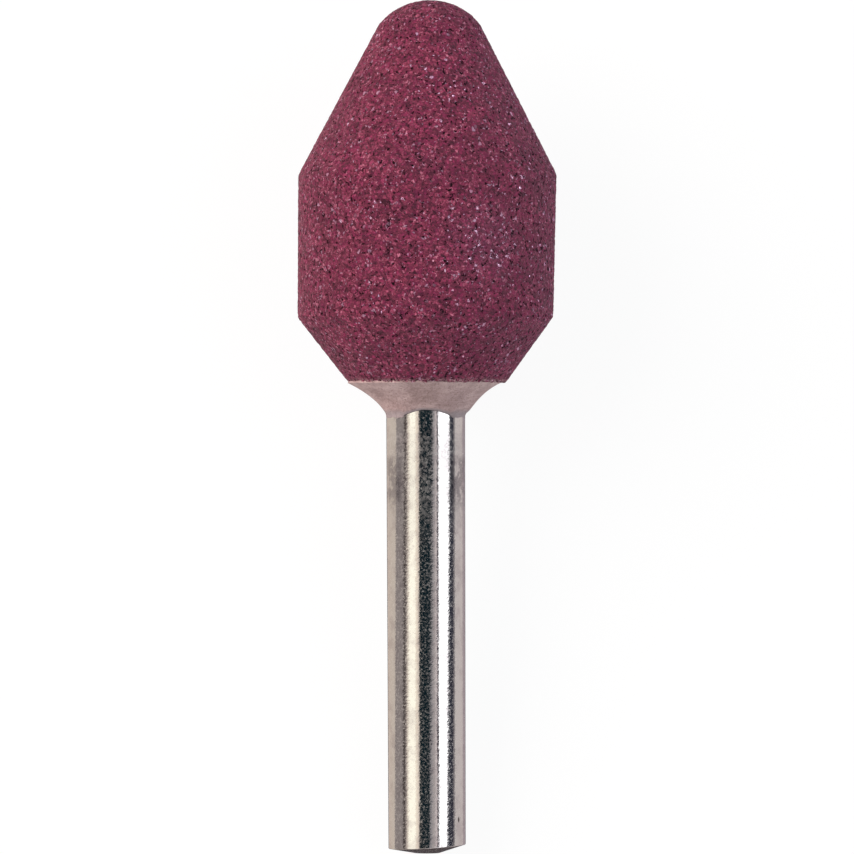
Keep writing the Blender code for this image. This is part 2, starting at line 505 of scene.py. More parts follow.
@dataclass(frozen=True)
class StoneFinish:
    """Vitrified ruby-coloured aluminium oxide: angular grains, dark pores in painted shade, and bright
    crystal faces, partly painted glints.
    """

    name: str = "vitrified_stone"
    fineness: float = 4.4  # grains per millimetre
    pores: float = 0.583  # how much noise it takes to make a pore
    shade_pores: float = 0.025  # how much less it takes on the darker side
    grain_colours: Stops = (
        (0.12, (0.066, 0.011, 0.021)),
        (0.38, (0.152, 0.024, 0.048)),
        (0.62, (0.240, 0.036, 0.074)),
        (0.82, (0.350, 0.072, 0.130)),
        (0.94, (0.600, 0.220, 0.310)),
    )
    patches: Stops = ((0.25, (0.80, 0.84, 0.84)), (0.75, (1.18, 1.12, 1.14)))
    patch_scale: float = 0.45
    streaks: Stops = ((0.32, (0.68, 0.70, 0.70)), (0.68, (1.30, 1.26, 1.26)))
    streak_scale: float = 3.6
    streak_bend: float = 2.6
    # The near-black of the pores, painted shade
    pore_shade_colour: Colour = (0.019, 0.007, 0.011)
    # The colour of the pale faces, painted glints
    painted_glint_colour: Colour = (1.0, 0.66, 0.86)
    rose: Colour = (0.268, 0.024, 0.084)
    rose_share: float = 0.55
    # A lilac sheen painted over the patch of glints, standing in for the cool lamp's reflection
    lilac_sheen: Colour = (0.25, 0.085, 0.15)
    lilac_sheen_share: float = 0.30
    chip_colour: Colour = (0.58, 0.34, 0.35)
    chip_reach: float = 0.32  # how far up the back edge's pale chips go
    face_tint: Colour = (1.0, 0.62, 0.86)
    face_colour: Colour = (0.92, 0.52, 0.74)
    face_share: float = 0.8
    sheen_level: float = 0.62
    relief: float = 1.1
    # Where the stone gets painted shade, darker and with more pores
    shaded_right: Span = (5.5, 8.5)  # where the darker side starts across the belly, and where it is full
    shaded_taper: Span = (-2.0, 3.0)  # the same across the back taper
    shaded_taper_top: Span = (3.6, 5.2)
    # The painted patch of glints and lilac sheen, where the cool lamp's reflection falls
    glint_patch_place: Place = (4.6, -9.0, 10.6)  # the middle of the cluster of bright faces
    glint_patch_size: float = 4.6

    def grain_colour(self, wiring: Wiring, place: Socket, grit: dict[str, Socket], swirl: Socket) -> Socket:
        """The colour of the grains, before the bright faces and the pores.

        Args:
            wiring: The material's wiring.
            place: Where a point is.
            grit: The grains.
            swirl: The noise of the streaks.

        Returns:
            The colour.
        """
        colour = wiring.ramp(grit["Tone"], self.grain_colours)
        rosy = wiring.span(grit["Tint"], 0.60, 0.80, 0.0, self.rose_share)
        colour = wiring.mix(rosy, colour, self.rose)
        cloud = wiring.noise(place, self.patch_scale, detail=3.0).outputs[0]
        colour = wiring.mix(1.0, colour, wiring.ramp(cloud, self.patches), "MULTIPLY")
        colour = wiring.mix(1.0, colour, wiring.ramp(swirl, self.streaks), "MULTIPLY")
        edge = wiring.span(wiring.parts(place)[2], -0.02, self.chip_reach, 0.9, 0.0)
        chip = wiring.times(edge, wiring.span(grit["Facet"], 0.40, 0.55))
        return wiring.mix(chip, colour, self.chip_colour)

    def material(self) -> bpy.types.Material:
        """The finish as a material.

        Returns:
            The material.
        """
        material, wiring, shader, place = new_material(self.name)
        across, _, height = wiring.parts(place)
        # The side with painted shade, darker and with more pores: at the right, and most of the back taper
        low = wiring.times(wiring.span(across, *self.shaded_taper), wiring.fall(height, *self.shaded_taper_top))
        side = wiring.most(wiring.span(across, *self.shaded_right), low)
        pores = wiring.times_plus(side, -self.shade_pores, self.pores)
        grit = wiring.group(Effects.grit(), {"Place": place, "Fineness": self.fineness, "Pores": pores})
        streaky = wiring.noise(place, self.streak_scale, detail=3.0, roughness=0.6)
        streaky.inputs["Distortion"].default_value = self.streak_bend
        swirl = streaky.outputs[0]
        colour = self.grain_colour(wiring, place, grit, swirl)
        # Where bright faces cluster: at random, more on the side with painted shade, and most in a painted
        # patch of glints placed where the cool lamp's reflection falls
        nearby = wiring.fall(wiring.distance(place, self.glint_patch_place), 0.8, self.glint_patch_size)
        glint_patch = wiring.times(nearby, wiring.span(swirl, 0.42, 0.56))
        cluster = wiring.span(wiring.noise(place, 0.30).outputs[0], 0.46, 0.60, 0.10, 0.75)
        cluster = wiring.most(wiring.most(cluster, glint_patch), wiring.times(side, 0.7))
        cluster = wiring.times(cluster, wiring.span(height, 3.0, 6.0, 0.5, 1.0))
        # Painted reflection: the lilac sheen over the patch of glints
        colour = wiring.mix(wiring.times(glint_patch, self.lilac_sheen_share), colour, self.lilac_sheen)
        # Painted shade: the shaded side a little darker
        colour = wiring.mix(wiring.times(side, 0.05), colour, self.pore_shade_colour)
        # The faces: pale ones, which are painted glints, and smooth ones that mirror
        facet = wiring.times_plus(glint_patch, 0.020, grit["Facet"])
        face = wiring.times_plus(glint_patch, 0.060, grit["Face"])
        pale = wiring.most(wiring.span(facet, 0.982, 0.992), wiring.span(face, 0.986, 0.994))
        pale = wiring.times(pale, cluster)
        colour = wiring.mix(pale, colour, self.painted_glint_colour)
        smooth = wiring.most(wiring.span(facet, 0.972, 0.984), wiring.span(face, 0.980, 0.990))
        smooth = wiring.times(smooth, wiring.times_plus(cluster, 0.8, 0.4))
        smooth = wiring.times(smooth, wiring.rest_of(grit["Pit"]))
        mirror = wiring.times(smooth, self.face_share)
        colour = wiring.mix(wiring.times(mirror, wiring.rest_of(pale)), colour, self.face_colour)
        # The pores and the cracks between grains are real hollows; their near-black colour, and the black
        # metal in the pores that mirrors nothing, are painted shade
        dark = wiring.most(grit["Pit"], wiring.times(grit["Crack"], 0.4))
        wiring.feed(shader.inputs["Base Color"], wiring.mix(dark, colour, self.pore_shade_colour))
        wiring.feed(shader.inputs["Metallic"], wiring.most(mirror, wiring.times(grit["Pit"], 0.8)))
        wiring.feed(shader.inputs["Roughness"], wiring.span(smooth, 0.0, 1.0, 0.72, 0.14))
        shader.inputs["Specular IOR Level"].default_value = self.sheen_level
        shader.inputs["Specular Tint"].default_value = (*self.face_tint, 1.0)
        surface = wiring.number("SUBTRACT", grit["Height"], wiring.times(dark, 0.05))
        wiring.bump(shader, surface, self.relief)
        return material


@dataclass(frozen=True)
class CementFinish:
    """Pale pinkish cement with fine specks, a grey rim and a dark line under its lip, both painted shade."""

    name: str = "setting_cement"
    fineness: float = 8.0
    pores: float = 0.575
    colours: Stops = (
        (0.36, (0.330, 0.222, 0.212)),
        (0.50, (0.460, 0.322, 0.308)),
        (0.64, (0.600, 0.442, 0.430)),
    )
    speck: Colour = (0.17, 0.10, 0.09)
    speck_share: float = 0.60
    # The grey rim above the lip's edge, painted shade
    rim: Colour = (0.205, 0.200, 0.215)
    rim_share: float = 0.55
    # The dark line under the lip in front, painted shade
    lip_shade: Colour = (0.030, 0.026, 0.030)
    dark_patch: Colour = (0.91, 0.90, 0.89)
    dark_patch_place: Place = (0.1, -4.3, -0.9)
    dark_patch_size: float = 1.9
    # Where the cement is painted paler, just under the stone
    painted_light_top: Span = (-0.8, -0.1)  # where it gets paler under the stone
    streak_scales: Place = (0.8, 0.8, 5.0)
    relief: float = 0.5

    def material(self) -> bpy.types.Material:
        """The finish as a material.

        Returns:
            The material.
        """
        material, wiring, shader, place = new_material(self.name)
        grit = wiring.group(Effects.grit(), {"Place": place, "Fineness": self.fineness, "Pores": self.pores})
        cloud = wiring.noise(place, 0.45, detail=5.0, roughness=0.6).outputs[0]
        streak = wiring.lumps(place, self.streak_scales, 3.0)
        tone = wiring.times_plus(streak, 0.25, wiring.times(cloud, 0.60))
        tone = wiring.times_plus(grit["Tone"], 0.15, tone)
        # Painted light: the cement paler just under the stone
        painted_light = wiring.span(wiring.parts(place)[2], *self.painted_light_top)
        colour = wiring.ramp(wiring.times_plus(painted_light, 0.05, tone), self.colours)
        # A soft darker patch on the front of the collar
        in_dark_patch = wiring.fall(wiring.distance(place, self.dark_patch_place), 0.3, self.dark_patch_size)
        colour = wiring.mix(in_dark_patch, colour, self.dark_patch, "MULTIPLY")
        colour = wiring.mix(wiring.times(grit["Pit"], self.speck_share), colour, self.speck)
        # Painted shade: a grey rim above the lip, and a dark line under it in front
        lip = wiring.node("ShaderNodeAttribute", attribute_name=LIP_MASK).outputs["Fac"]
        colour = wiring.mix(wiring.span(lip, 0.0, 0.5, 0.0, self.rim_share), colour, self.rim)
        under_lip = wiring.span(lip, 0.5, 1.0)
        wiring.feed(shader.inputs["Base Color"], wiring.mix(under_lip, colour, self.lip_shade))
        wiring.feed(shader.inputs["Roughness"], wiring.span(cloud, 0.3, 0.7, 0.82, 0.94))
        height = wiring.times_plus(grit["Height"], 1.0, wiring.times(cloud, 0.25))
        wiring.bump(shader, height, self.relief)
        return material


@dataclass(frozen=True)
class SteelFinish:
    """Ground steel: fine marks, tiny pits, a matt haze of cement near the collar and a nick near the end."""

    name: str = "ground_steel"
    colour: Colour = (0.560, 0.520, 0.485)
    stain: Colour = (0.460, 0.415, 0.395)
    haze: Colour = (0.230, 0.205, 0.205)
    edge_tint: Colour = (0.86, 0.80, 0.78)
    nick: Colour = (0.060, 0.050, 0.045)
    nick_place: Place = (2.46, -1.74, -33.97)
    nick_size: float = 0.15
    mark_scales: Place = (3.8, 3.8, 5.0)
    mark_depth: float = 0.0066
    fine_scales: Place = (8.0, 8.0, 12.0)
    fine_depth: float = 0.0014
    pit_scale: float = 6.0
    speck_share: float = 0.26  # how matt the most pitted specks are
    haze_share: float = 0.25  # how matt the haze is
    haze_start: Span = (-13.0, -8.5)  # along the axis, from the bare steel
    haze_end: Span = (-4.2, -3.75)  # and to the clean strip under the lip
    ring_start: Span = (-11.0, -8.5)  # the smeared ring at the sides
    ring_end: Span = (-6.4, -5.3)
    ring_sides: Span = (1.6, 2.1)

    def haze_and_film(self, wiring: Wiring, place: Socket) -> tuple[Socket, Socket, Socket]:
        """The haze and smears that the cement has left on the steel.

        Args:
            wiring: The material's wiring.
            place: Where a point is.

        Returns:
            How smeared the steel is, how much of the haze's colour it has, and how matt it is.
        """
        across, _, along = wiring.parts(place)
        near = wiring.times(wiring.span(along, *self.haze_start), wiring.fall(along, *self.haze_end))
        broad = wiring.lumps(place, (0.7, 0.7, 0.6), 3.0, 0.6)
        mottle = wiring.noise(place, 3.2, detail=4.0, roughness=0.7).outputs[0]
        patch = wiring.times_plus(mottle, 0.45, wiring.times(broad, 0.55))
        edge = wiring.times_plus(near, -0.10, 0.66)
        smear = wiring.span(patch, edge, wiring.plus(edge, 0.09))
        aside = wiring.span(wiring.number("ABSOLUTE", across), *self.ring_sides)
        ring = wiring.times(wiring.span(along, *self.ring_start), wiring.fall(along, *self.ring_end))
        film = wiring.times(wiring.times(aside, ring), wiring.span(patch, 0.42, 0.52))
        veil = wiring.most(wiring.times(smear, 0.30), wiring.times(film, 0.85))
        veil = wiring.most(veil, wiring.times(near, 0.15))
        matt = wiring.times(near, wiring.span(mottle, 0.45, 0.58, 0.0, self.haze_share))
        return smear, veil, matt

    def material(self) -> bpy.types.Material:
        """The finish as a material.

        Returns:
            The material.
        """
        material, wiring, shader, place = new_material(self.name)
        marks = wiring.lumps(place, self.mark_scales)
        fine = wiring.lumps(place, self.fine_scales)
        cloud = wiring.noise(place, 0.9, detail=4.0, roughness=0.6).outputs[0]
        pits = wiring.noise(place, self.pit_scale, detail=2.0, roughness=0.6).outputs[0]
        specks = wiring.span(pits, 0.425, 0.78, 0.0, self.speck_share)
        smear, veil, matt = self.haze_and_film(wiring, place)
        steel = wiring.mix(wiring.span(cloud, 0.45, 0.70), self.colour, self.stain)
        offset = wiring.vector("SUBTRACT", place, self.nick_place).outputs[0]
        away = wiring.vector("LENGTH", wiring.stretched(offset, (1.0, 1.0, 0.5))).outputs["Value"]
        nicked = wiring.span(away, self.nick_size * 0.4, self.nick_size, 0.95, 0.0)
        worn = wiring.mix(nicked, wiring.mix(veil, steel, self.haze), self.nick)
        wiring.feed(shader.inputs["Base Color"], worn)
        wiring.feed(shader.inputs["Metallic"], wiring.rest_of(wiring.most(matt, specks)))
        shader.inputs["Specular Tint"].default_value = (*self.edge_tint, 1.0)
        rough = wiring.span(cloud, 0.3, 0.7, 0.08, 0.12)
        rough = wiring.times_plus(wiring.span(pits, 0.56, 0.66), 0.15, rough)
        wiring.feed(shader.inputs["Roughness"], wiring.times_plus(smear, 0.24, rough))
        height = wiring.times_plus(fine, self.fine_depth, wiring.times(marks, self.mark_depth))
        wiring.bump(shader, height, 1.0)
        return material


class Relief:
    """Gives a stone's surface its grains, pores and chipped edge, in its geometry."""

    def __init__(self, fineness: float, pores: float) -> None:
        """Starts on a tree that moves points.

        Args:
            fineness: Grains per millimetre.
            pores: How much noise it takes to make a pore.
        """
        tree = bpy.data.node_groups.new("stone_relief", "GeometryNodeTree")
        for in_out in ("INPUT", "OUTPUT"):
            tree.interface.new_socket(name="Geometry", in_out=in_out, socket_type="NodeSocketGeometry")
        self.tree = tree
        self.wiring = Wiring(tree)
        self.fineness = fineness
        self.pores = pores

    def surface(self, place: Socket, grain_depth: float, pore_depth: float) -> Socket:
        """The relief of the grains and pores.

        Args:
            place: Where a point is, in millimetres.
            grain_depth: How deep the relief of the grains is.
            pore_depth: How deep the pores are.

        Returns:
            How far inwards a point moves, in millimetres.
        """
        wiring = self.wiring
        tone = wiring.parts(wiring.cells(place, self.fineness).outputs["Color"])[0]
        gap = wiring.cells(place, self.fineness, "DISTANCE_TO_EDGE").outputs["Distance"]
        crack = wiring.fall(gap, 0.0, 0.2)
        hollow = wiring.noise(place, self.fineness * 0.8, detail=2.5, roughness=0.6).outputs[0]
        pit = wiring.span(hollow, self.pores - 0.02, self.pores + 0.08)
        grain = wiring.times(wiring.plus(tone, wiring.times(crack, 0.5)), grain_depth)
        return wiring.times_plus(pit, pore_depth, grain)

    def chipped(self, place: Socket, depth: Socket, chips: Sequence[tuple[float, float, float]]) -> Socket:
        """Adds chipped rings to a relief.

        Args:
            place: Where a point is, in millimetres.
            depth: The depth of the relief.
            chips: The height, reach and depth of each chipped ring, in millimetres.

        Returns:
            The depth with the chips.
        """
        wiring = self.wiring
        broken = wiring.cells(place, 3.4)
        flaw = wiring.number("POWER", wiring.parts(broken.outputs["Color"])[1], 1.6)
        along = wiring.parts(place)[2]
        for height, reach, chip in chips:
            off = wiring.number("ABSOLUTE", wiring.number("SUBTRACT", along, height))
            near = wiring.fall(off, reach * 0.3, reach)
            depth = wiring.times_plus(wiring.times(near, flaw), chip, depth)
        return depth

    def apply(
        self,
        piece: bpy.types.Object,
        grain_depth: float,
        pore_depth: float,
        chips: Sequence[tuple[float, float, float]],
    ) -> None:
        """Moves the surface inwards by the depth of its grains, pores and chips.

        Args:
            piece: The upright piece.
            grain_depth: How deep the relief of the grains is, in millimetres.
            pore_depth: How deep the pores are, in millimetres.
            chips: The height, reach and depth of each chipped ring, in millimetres.
        """
        wiring = self.wiring
        place = wiring.scaled(wiring.node("GeometryNodeInputPosition").outputs[0], 1 / MM)
        depth = self.chipped(place, self.surface(place, grain_depth, pore_depth), chips)
        normal = wiring.node("GeometryNodeInputNormal").outputs[0]
        offset = wiring.scaled(normal, wiring.times(depth, -MM))
        entry = wiring.node("NodeGroupInput").outputs[0]
        moved = wiring.node("GeometryNodeSetPosition", {"Geometry": entry, "Offset": offset}).outputs[0]
        wiring.node("NodeGroupOutput", {0: moved})
        select_only(piece)
        relief = piece.modifiers.new("relief", "NODES")
        relief.node_group = self.tree
        bpy.ops.object.modifier_apply(modifier=relief.name)


@dataclass
class AbrasiveHead:
    """The abrasive stone, with the blind bore that holds the shank."""

    finish: StoneFinish = StoneFinish()
    belly_radius: float = 0.01006
    belly_end_radius: float = 0.00996
    back_taper: float = 0.0050
    belly_length: float = 0.01110
    cone_length: float = 0.01171
    nose_ball: float = 0.0051
    nose_radius: float = 0.00394
    back_radius: float = 0.00608
    back_edge: float = -0.00015
    bore_radius: float = 0.0040
    bore_depth: float = 0.0160
    bore_rise: float = 0.0024
    nose_rounding: float = 0.0016
    shoulder_rounding: float = 0.0010
    edge_rounding: float = 0.0002
    back_rounding: float = 0.00006
    grain_depth: float = 0.045  # millimetres
    pore_depth: float = 0.05  # millimetres
    back_chips: Span = (0.42, 0.21)  # reach and depth, in millimetres
    belly_chips: Span = (0.35, 0.08)
    step: float = 0.00016
    segments: int = 390
    lean: float = math.radians(0.95)
    shift: float = -0.000072
    taper_offset: float = 0.00021

    def outline(self) -> Outline:
        """Half a section, from the tip of the nose over the outside to the end of the bore.

        Returns:
            The outline.
        """
        cone_end = self.back_taper + self.belly_length + self.cone_length
        cap = self.nose_ball - math.sqrt(self.nose_ball**2 - self.nose_radius**2)
        tip = Vector((0, cone_end + cap))
        centre = Vector((0, tip.y - self.nose_ball))
        corners = [
            Vector((self.nose_radius, cone_end)),
            Vector((self.belly_radius, self.back_taper + self.belly_length)),
            Vector((self.belly_end_radius, self.back_taper)),
            Vector((self.back_radius, self.back_edge)),
            Vector((self.bore_radius, self.back_edge)),
        ]
        points = Turning.arc(centre, tip, corners[0], self.step * 1.3)[:-4]
        roundings = (self.nose_rounding, self.shoulder_rounding, self.edge_rounding, self.back_rounding)
        before = points[-1]
        for corner, after, radius in zip(corners, corners[1:], roundings):
            points += Turning.rounded(before, corner, after, radius, self.step)
            before = corner
        points = Turning.spaced([*points, corners[-1]], self.step)
        bore_end = Vector((self.bore_radius, self.bore_depth))
        return [*points, bore_end, Vector((0, self.bore_depth + self.bore_rise))]

    def off_centre(self, place: Vector) -> Vector:
        """Leans the outside towards the nose and shifts the back taper, while the bore stays true.

        Args:
            place: Where a vertex is.

        Returns:
            Where it goes.
        """
        narrow = math.hypot(place.x, place.y) < self.bore_radius + self.step / 2
        if narrow and place.z < self.bore_depth + self.bore_rise + self.step / 2:
            return place
        share = 1 - min(1.0, max(0.0, place.z / self.back_taper))
        aside = self.shift + place.z * math.tan(self.lean) + share * self.taper_offset
        return place + Vector((aside, 0, 0))

    def build(self) -> bpy.types.Object:
        """Makes the stone and dresses it.

        Returns:
            The stone.
        """
        piece = Turning.solid("abrasive_stone", self.outline(), self.segments)
        Turning.moved(piece, self.off_centre)
        chips = ((self.back_edge / MM, *self.back_chips), (self.back_taper / MM, *self.belly_chips))
        relief = Relief(self.finish.fineness, self.finish.pores)
        relief.apply(piece, self.grain_depth, self.pore_depth, chips)
        bpy.ops.object.shade_smooth()
        Turning.laid_down(piece)
        piece.data.materials.append(self.finish.material())
        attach(piece, BODY)
        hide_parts("abrasive_head")
        return piece


@dataclass
class CementSeat:
    """The cement: a blind sleeve round the shank's keyed end, and the flared collar with its uneven lip."""

    finish: CementFinish = CementFinish()
    bore_radius: float = 0.00398
    bore_depth: float = 0.0159
    bore_rise: float = 0.0023
    shank_radius: float = 0.003065
    sleeve_radius: float = 0.00242
    sleeve_start: float = 0.0010
    sleeve_end: float = 0.0150
    flare_radius: float = 0.00598
    flare_start: float = -0.00009
    flare_height: float = 0.00245
    flare_arc: float = 0.00745
    filling: float = 0.00009
    overlap: float = 0.00002
    lip: float = 0.00005
    lip_edge: float = 0.00008
    film: float = 0.00002
    film_height: float = 0.00265
    lean: float = 0.00008
    # How far up from the lip's edge its rim of painted shade reaches
    rim: float = 0.00028
    step: float = 0.0001
    segments: int = 288
    # The lip's arch and the waves of its edge, in degrees and millimetres
    left_foot: float = 34  # from the front to the foot of the arch
    right_foot: float = 40
    arch_top: float = 2.14  # down to the lip, in the middle of its arch
    arch_drop: float = 0.46  # how much further down it is at its feet
    arch_power: float = 1.9
    back_waves: Waves = ((0.12, 3, 0.0),)
    back_rise: float = 0.08
    lip_waves: Waves = ((0.010, 13, 0.0), (0.006, 29, 1.0))
    film_drop: float = 0.12
    film_waves: Waves = ((0.03, 9, 0.5), (0.03, 21, 0.0))

    def outline(self) -> Outline:
        """Half a section, from the end of the bore down the sleeve and the collar, and up the shank's side.

        Returns:
            The outline.
        """
        flare_start = Vector((self.flare_radius, self.flare_start))
        flare_end = Vector((self.shank_radius + self.lip, -self.flare_height))
        chord = flare_end - flare_start
        sag = math.sqrt(self.flare_arc**2 - chord.length**2 / 4)
        out = Vector((-chord.y, chord.x)).normalized()
        centre = (flare_start + flare_end) / 2 + out * sag
        film = self.shank_radius + self.film
        inside = self.shank_radius - self.overlap
        under = -self.flare_height - self.lip_edge
        return [
            Vector((0, self.bore_depth + self.bore_rise)),
            Vector((self.bore_radius, self.bore_depth)),
            Vector((self.bore_radius, self.filling)),
            Vector((self.flare_radius - self.overlap, self.filling)),
            *Turning.arc(centre, flare_start, flare_end, self.step),
            Vector((film, under)),
            Vector((film, -self.film_height)),
            Vector((inside, -self.film_height - self.film)),
            Vector((inside, self.sleeve_start)),
            Vector((self.sleeve_radius, self.sleeve_start)),
            Vector((self.sleeve_radius, self.sleeve_end)),
            Vector((0, self.sleeve_end)),
        ]

    @staticmethod
    def rise(value: float, start: float, end: float) -> float:
        """Goes smoothly from zero at the start to one at the end."""
        share = min(1.0, max(0.0, (value - start) / (end - start)))
        return share * share * (3 - 2 * share)

    @staticmethod
    def waves(rows: Waves, angle: float) -> float:
        """The sum of waves round the axis, at an angle."""
        return sum(size * math.sin(count * angle + start) for size, count, start in rows)

    def along_arch(self, angle: float) -> float:
        """How far an angle is along the lip's arch in front, from zero in its middle to one at its foot."""
        return abs(math.degrees(angle)) / (self.left_foot if angle < 0 else self.right_foot)

    def sideways(self, angle: float) -> float:
        """How far an angle is past the lip's arch, from zero in front to one at the sides."""
        return self.rise(self.along_arch(angle), 0.85, 1.15)

    def lip_height(self, angle: float) -> float:
        """How far down the lip's edge is.

        Args:
            angle: The angle from the front.

        Returns:
            The depth below the back face.
        """
        depth = self.arch_top + self.arch_drop * min(1.0, self.along_arch(angle)) ** self.arch_power
        behind = self.rise(abs(math.degrees(angle)), 90, 140)
        depth += behind * (self.waves(self.back_waves, angle) - self.back_rise)
        depth += self.waves(self.lip_waves, angle)
        return depth * MM

    def film_end(self, angle: float) -> float:
        """How far down the thin film under the lip ends, at an angle from the front."""
        drop = self.film_drop + self.waves(self.film_waves, angle)
        return self.lip_height(angle) + self.lip_edge + self.sideways(angle) * drop * MM

    def settle(self, place: Vector) -> Vector:
        """Lets the collar run down to its uneven lip, and thins it to a film at the sides.

        Args:
            place: Where a vertex is.

        Returns:
            Where it goes.
        """
        radius = math.hypot(place.x, place.y)
        if place.z >= 0 or radius < self.shank_radius - 0.0001:
            return place
        angle = math.atan2(place.x, -place.y)
        edge = -self.flare_height
        under = edge - self.lip_edge
        if place.z >= edge - MERGE:
            height = place.z - (place.z / edge) ** 4 * (self.lip_height(angle) - self.flare_height)
        else:
            share = min(1.0, (under - place.z) / (self.film_height - self.flare_height - self.lip_edge))
            height = -self.lip_height(angle) - self.lip_edge
            if place.z < under + MERGE:
                height += share * (-self.film_end(angle) - height)
        thin = 1 - 0.6 * self.sideways(angle) * self.rise(-place.z, 0.0021, 0.0025)
        spread = max(0.0, radius - self.shank_radius)
        scale = (radius - spread * (1 - thin)) / radius
        leaning = 2 * self.rise(-place.z, 0.0002, 0.0019) - 1
        aside = self.lean * leaning * self.rise(place.z, -0.00245, -0.0021)
        return Vector((place.x * scale + aside, place.y * scale, height))

    def mark_lip(self, piece: bpy.types.Object) -> None:
        """Marks the underside of the lip in front, for the dark line of painted shade there, and more
        faintly its grey rim of painted shade.

        Args:
            piece: The cement before it settles.
        """
        mask = piece.data.attributes.new(LIP_MASK, "FLOAT", "POINT")
        for vertex, entry in zip(piece.data.vertices, mask.data):
            side = self.sideways(math.atan2(vertex.co.x, -vertex.co.y))
            if vertex.co.z < -self.flare_height - self.lip_edge / 2:
                entry.value = 1 - 0.5 * side
            else:
                start = self.flare_height - self.rim * (1 + side)
                entry.value = 0.5 * self.rise(-vertex.co.z, start, self.flare_height)

    def build(self) -> bpy.types.Object:
        """Makes the cement and dresses it.

        Returns:
            The cement.
        """
        piece = Turning.solid("cement_collar", self.outline(), self.segments)
        self.mark_lip(piece)
        Turning.moved(piece, self.settle)
        bpy.ops.object.shade_smooth_by_angle(angle=math.radians(35))
        Turning.laid_down(piece)
        piece.data.materials.append(self.finish.material())
        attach(piece, BODY)
        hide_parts("bonding_cement")
        return piece


@dataclass
class SteelShank:
    """The ground shank, its slightly skew end and its keyed end inside the stone."""

    finish: SteelFinish = SteelFinish()
    top_radius: float = 0.00307
    end_radius: float = 0.00300
    length: float = 0.03663
    end_cone: float = 0.00045
    end_flat: float = 0.0010
    end_rounding: float = 0.00007
    skew: float = 0.00016
    inset: float = 0.0010
    key_radius: float = 0.0024
    root_radius: float = 0.00205
    rings_start: float = 0.0030
    embedded: float = 0.0150
    tip_chamfer: float = 0.0004
    rings: int = 9
    flutes: int = 12
    flute_depth: float = 0.00022
    loops: tuple[float, ...] = (0.01, 0.02, 0.5, 0.99)  # where the long side has them, as shares of it
    segments: int = 288

    def outline(self) -> Outline:
        """Half a section, from the middle of the free end to the tip of the keyed end.

        Returns:
            The outline.
        """
        flat = Vector((self.end_flat, -self.length))
        corner = Vector((self.end_radius, self.end_cone - self.length))
        top = Vector((self.top_radius, self.inset))
        points = [Vector((0, -self.length)), flat]
        points += Turning.rounded(flat, corner, top, self.end_rounding, self.end_rounding / 4)
        points += [corner.lerp(top, share) for share in self.loops]
        points += [top, Vector((self.root_radius, self.inset)), Vector((self.root_radius, self.rings_start))]
        rings_end = self.embedded - self.tip_chamfer
        pitch = (rings_end - self.rings_start) / self.rings
        for ring in range(self.rings):
            start = self.rings_start + ring * pitch
            crest = Vector((self.key_radius, start + pitch / 2))
            points += [crest, Vector((self.root_radius, start + pitch))]
        tip = Vector((self.root_radius - self.tip_chamfer, self.embedded))
        return [*points, tip, Vector((0, self.embedded))]

    def keyed_and_skewed(self, place: Vector) -> Vector:
        """Presses the flutes into the rings, and cuts the free end a little askew.

        Args:
            place: Where a vertex is.

        Returns:
            Where it goes.
        """
        radius = math.hypot(place.x, place.y)
        if place.z > self.rings_start and radius > self.root_radius + 0.0001:
            angle = math.atan2(place.x, -place.y)
            depth = self.flute_depth * (1 - math.cos(self.flutes * angle)) / 2
            return Vector((place.x * (1 - depth / radius), place.y * (1 - depth / radius), place.z))
        if place.z < self.end_cone * 1.5 - self.length and radius > self.end_flat * 1.5:
            rise = self.skew * (place.x / self.end_radius + 0.3)
            return place + Vector((0, 0, rise * min(1.0, radius / self.end_radius)))
        return place

    def build(self) -> bpy.types.Object:
        """Makes the shank and dresses it.

        Returns:
            The shank.
        """
        piece = Turning.solid("ground_shank", self.outline(), self.segments)
        Turning.moved(piece, self.keyed_and_skewed)
        bpy.ops.object.shade_smooth_by_angle(angle=math.radians(20))
        Turning.laid_down(piece)
        piece.data.materials.append(self.finish.material())
        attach(piece, BODY)
        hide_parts("steel_shank")
        return piece


class Light(Enum):
    """The colours that a lamp can have."""

    WARM = (1.0, 0.90, 0.86)
    COOL = (0.78, 0.89, 1.0)


@dataclass(frozen=True)
class Lamp:
    """A square soft lamp beside the point's axis, that lights what is matt and shows in no reflection."""

    name: str
    light: Light
    angle: float  # degrees round the axis, from the front towards +X
    along: float  # metres towards the nose
    power: float
    size: float = 0.45
    distance: float = 0.5

    def build(self) -> bpy.types.Object:
        """Makes the lamp.

        Returns:
            The lamp.
        """
        turn = math.radians(self.angle)
        outwards = LIE.front() * math.cos(turn) + Vector((1, 0, 0)) * math.sin(turn)
        target = LIE.matrix().translation
        data = bpy.data.lights.new(self.name, "AREA")
        data.shape = "SQUARE"
        data.size = self.size
        data.energy = self.power
        data.color = self.light.value
        lamp = bpy.data.objects.new(self.name, data)
        bpy.context.scene.collection.objects.link(lamp)
        lamp.location = target + outwards * self.distance + LIE.nose() * self.along
        lamp.rotation_euler = (target - lamp.location).to_track_quat("-Z", "Y").to_euler()
        lamp.visible_glossy = False
        lamp.visible_camera = False
        return lamp


@dataclass(frozen=True)
class Edge:
    """An edge between panels, in degrees round the axis from the front towards +X."""

    by_end: float  # where the shank's free end mirrors it
    by_collar: float

    def at(self, share: float) -> float:
        """The edge's angle in radians, from zero by the free end to one by the collar."""
        return math.radians(self.by_end + (self.by_collar - self.by_end) * share)


